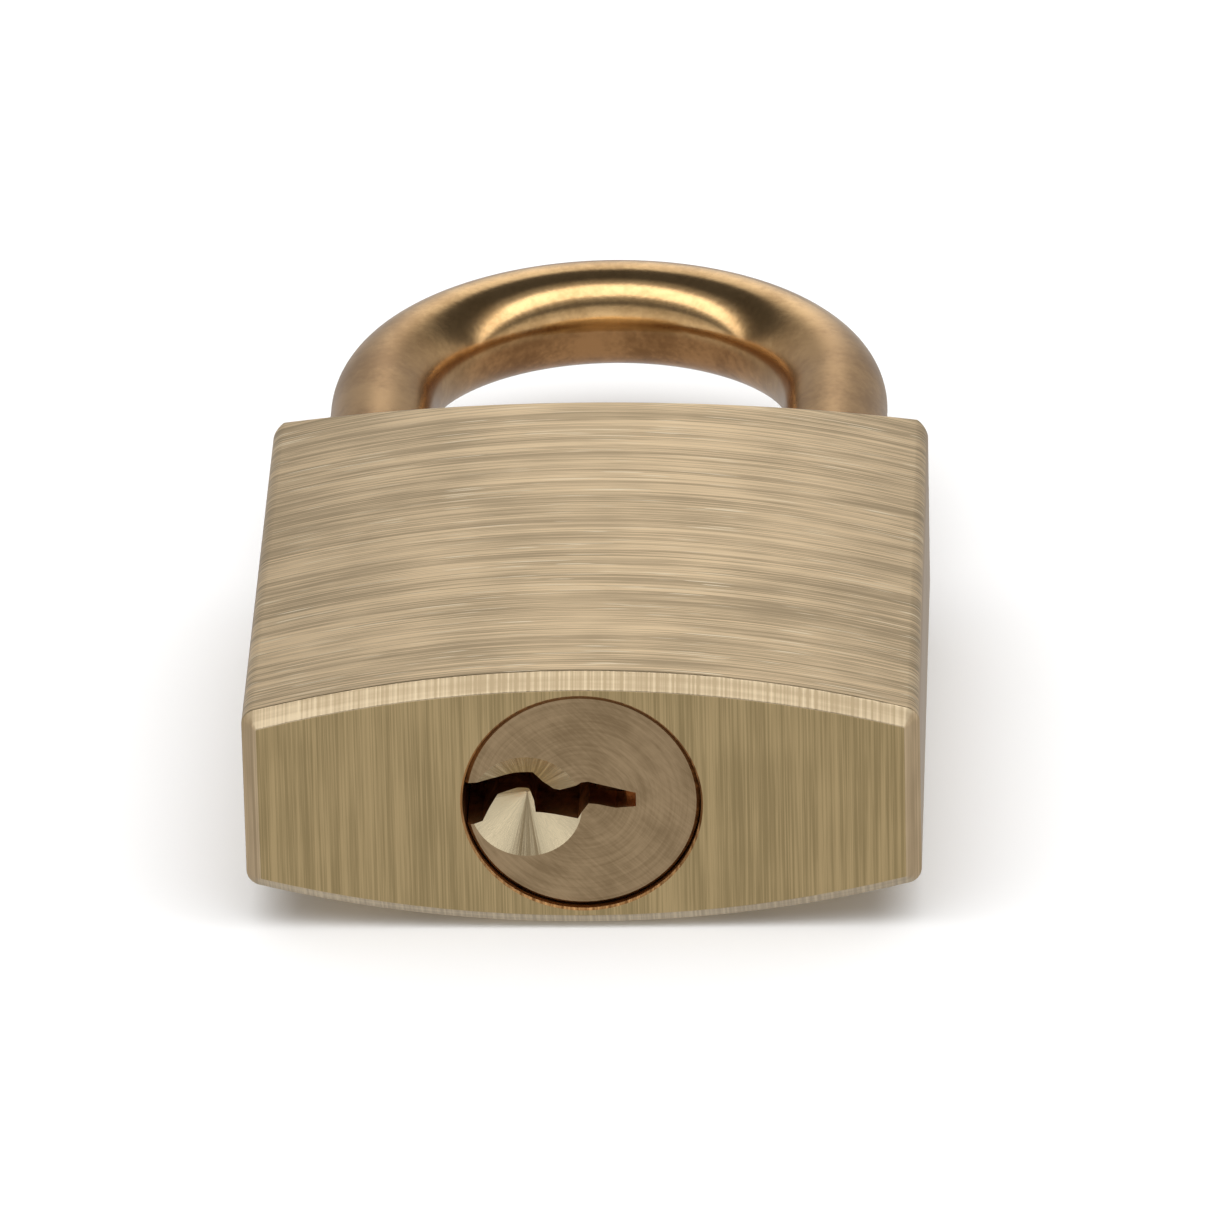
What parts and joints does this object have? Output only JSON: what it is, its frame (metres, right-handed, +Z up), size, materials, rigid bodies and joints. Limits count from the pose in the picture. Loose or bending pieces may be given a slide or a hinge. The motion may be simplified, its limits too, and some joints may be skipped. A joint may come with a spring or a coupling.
{
  "type": "pin tumbler padlock",
  "caption": "Crowned solid-brass padlock with a round brass shackle, a countersunk keyway plug, pin stacks and two sprung latches inside.",
  "frame": {"origin": "on the surface that the padlock lies on, under the middle of its overall length and width", "axes": "+Z up out of the front face, +Y along the body towards the shackle, +X to the right as the front is read"},
  "size_m": [0.04, 0.0688, 0.0168],
  "materials": {
    "satin_brass": "satin, brushed",
    "polished_brass": "polished",
    "plug_brass": "machined, slightly tarnished",
    "pin_brass": "machined",
    "spring_steel": "bright wire",
    "pin_steel": "ground"
  },
  "bodies": {
    "body": {"body": "satin_brass", "heel_retaining_pin": "pin_steel", "plug_retaining_pin": "pin_steel", "latch_bore_plug": "satin_brass", "chamber_plug_1": "satin_brass", "chamber_plug_2": "satin_brass", "chamber_plug_3": "satin_brass", "chamber_plug_4": "satin_brass", "chamber_plug_5": "satin_brass", "shackle_spring": "spring_steel", "latch_spring_rear": "spring_steel", "latch_spring_front": "spring_steel", "driver_spring_1": "spring_steel", "driver_spring_2": "spring_steel", "driver_spring_3": "spring_steel", "driver_spring_4": "spring_steel", "driver_spring_5": "spring_steel"},
    "shackle": {"shackle": "polished_brass"},
    "plug": {"plug": "plug_brass"},
    "latch_toe": {"latch_toe": "pin_brass"},
    "latch_heel": {"latch_heel": "pin_brass"},
    "key_pin_1": {"key_pin_1": "pin_brass"},
    "driver_pin_1": {"driver_pin_1": "pin_brass"},
    "key_pin_2": {"key_pin_2": "pin_brass"},
    "driver_pin_2": {"driver_pin_2": "pin_brass"},
    "key_pin_3": {"key_pin_3": "pin_brass"},
    "driver_pin_3": {"driver_pin_3": "pin_brass"},
    "key_pin_4": {"key_pin_4": "pin_brass"},
    "driver_pin_4": {"driver_pin_4": "pin_brass"},
    "key_pin_5": {"key_pin_5": "pin_brass"},
    "driver_pin_5": {"driver_pin_5": "pin_brass"}
  },
  "joints": [
    {"name": "plug_turn", "type": "hinge", "parent": "body", "child": "plug", "pos_m": [0, -0.03442, 0.0084], "axis": [0, 1, 0], "range_deg": [0, 90]},
    {"name": "shackle_lift", "type": "slide", "parent": "body", "child": "shackle", "axis": [0, 1, 0], "range_m": [0, 0.0115], "deforming": ["shackle_spring"]},
    {"name": "latch_toe_slide", "type": "slide", "parent": "body", "child": "latch_toe", "axis": [-1, 0, 0], "range_m": [-0.0022, 0], "stiffness_N_per_m": 60, "springref_m": -0.004, "deforming": ["latch_spring_rear", "latch_spring_front"]},
    {"name": "latch_heel_slide", "type": "slide", "parent": "body", "child": "latch_heel", "axis": [1, 0, 0], "range_m": [-0.0022, 0]},
    {"name": "driver_pin_1_slide", "type": "slide", "parent": "body", "child": "driver_pin_1", "axis": [1, 0, 0], "range_m": [-0.0008, 0], "stiffness_N_per_m": 40, "springref_m": -0.0038, "deforming": ["driver_spring_1"]},
    {"name": "key_pin_1_slide", "type": "slide", "parent": "plug", "child": "key_pin_1", "axis": [1, 0, 0], "range_m": [-0.0008, 0]},
    {"name": "driver_pin_2_slide", "type": "slide", "parent": "body", "child": "driver_pin_2", "axis": [1, 0, 0], "range_m": [-0.0018, 0], "stiffness_N_per_m": 40, "springref_m": -0.0048, "deforming": ["driver_spring_2"]},
    {"name": "key_pin_2_slide", "type": "slide", "parent": "plug", "child": "key_pin_2", "axis": [1, 0, 0], "range_m": [-0.0018, 0]},
    {"name": "driver_pin_3_slide", "type": "slide", "parent": "body", "child": "driver_pin_3", "axis": [1, 0, 0], "range_m": [-0.0003, 0], "stiffness_N_per_m": 40, "springref_m": -0.0033, "deforming": ["driver_spring_3"]},
    {"name": "key_pin_3_slide", "type": "slide", "parent": "plug", "child": "key_pin_3", "axis": [1, 0, 0], "range_m": [-0.0003, 0]},
    {"name": "driver_pin_4_slide", "type": "slide", "parent": "body", "child": "driver_pin_4", "axis": [1, 0, 0], "range_m": [-0.0013, 0], "stiffness_N_per_m": 40, "springref_m": -0.0043, "deforming": ["driver_spring_4"]},
    {"name": "key_pin_4_slide", "type": "slide", "parent": "plug", "child": "key_pin_4", "axis": [1, 0, 0], "range_m": [-0.0013, 0]},
    {"name": "driver_pin_5_slide", "type": "slide", "parent": "body", "child": "driver_pin_5", "axis": [1, 0, 0], "range_m": [-0.0023, 0], "stiffness_N_per_m": 40, "springref_m": -0.0053, "deforming": ["driver_spring_5"]},
    {"name": "key_pin_5_slide", "type": "slide", "parent": "plug", "child": "key_pin_5", "axis": [1, 0, 0], "range_m": [-0.0023, 0]}
  ],
  "couplings": [
    {"joint": "latch_heel_slide", "follows": "latch_toe_slide", "ratio": 1},
    {"joint": "key_pin_1_slide", "follows": "driver_pin_1_slide", "ratio": 1},
    {"joint": "key_pin_2_slide", "follows": "driver_pin_2_slide", "ratio": 1},
    {"joint": "key_pin_3_slide", "follows": "driver_pin_3_slide", "ratio": 1},
    {"joint": "key_pin_4_slide", "follows": "driver_pin_4_slide", "ratio": 1},
    {"joint": "key_pin_5_slide", "follows": "driver_pin_5_slide", "ratio": 1}
  ]
}
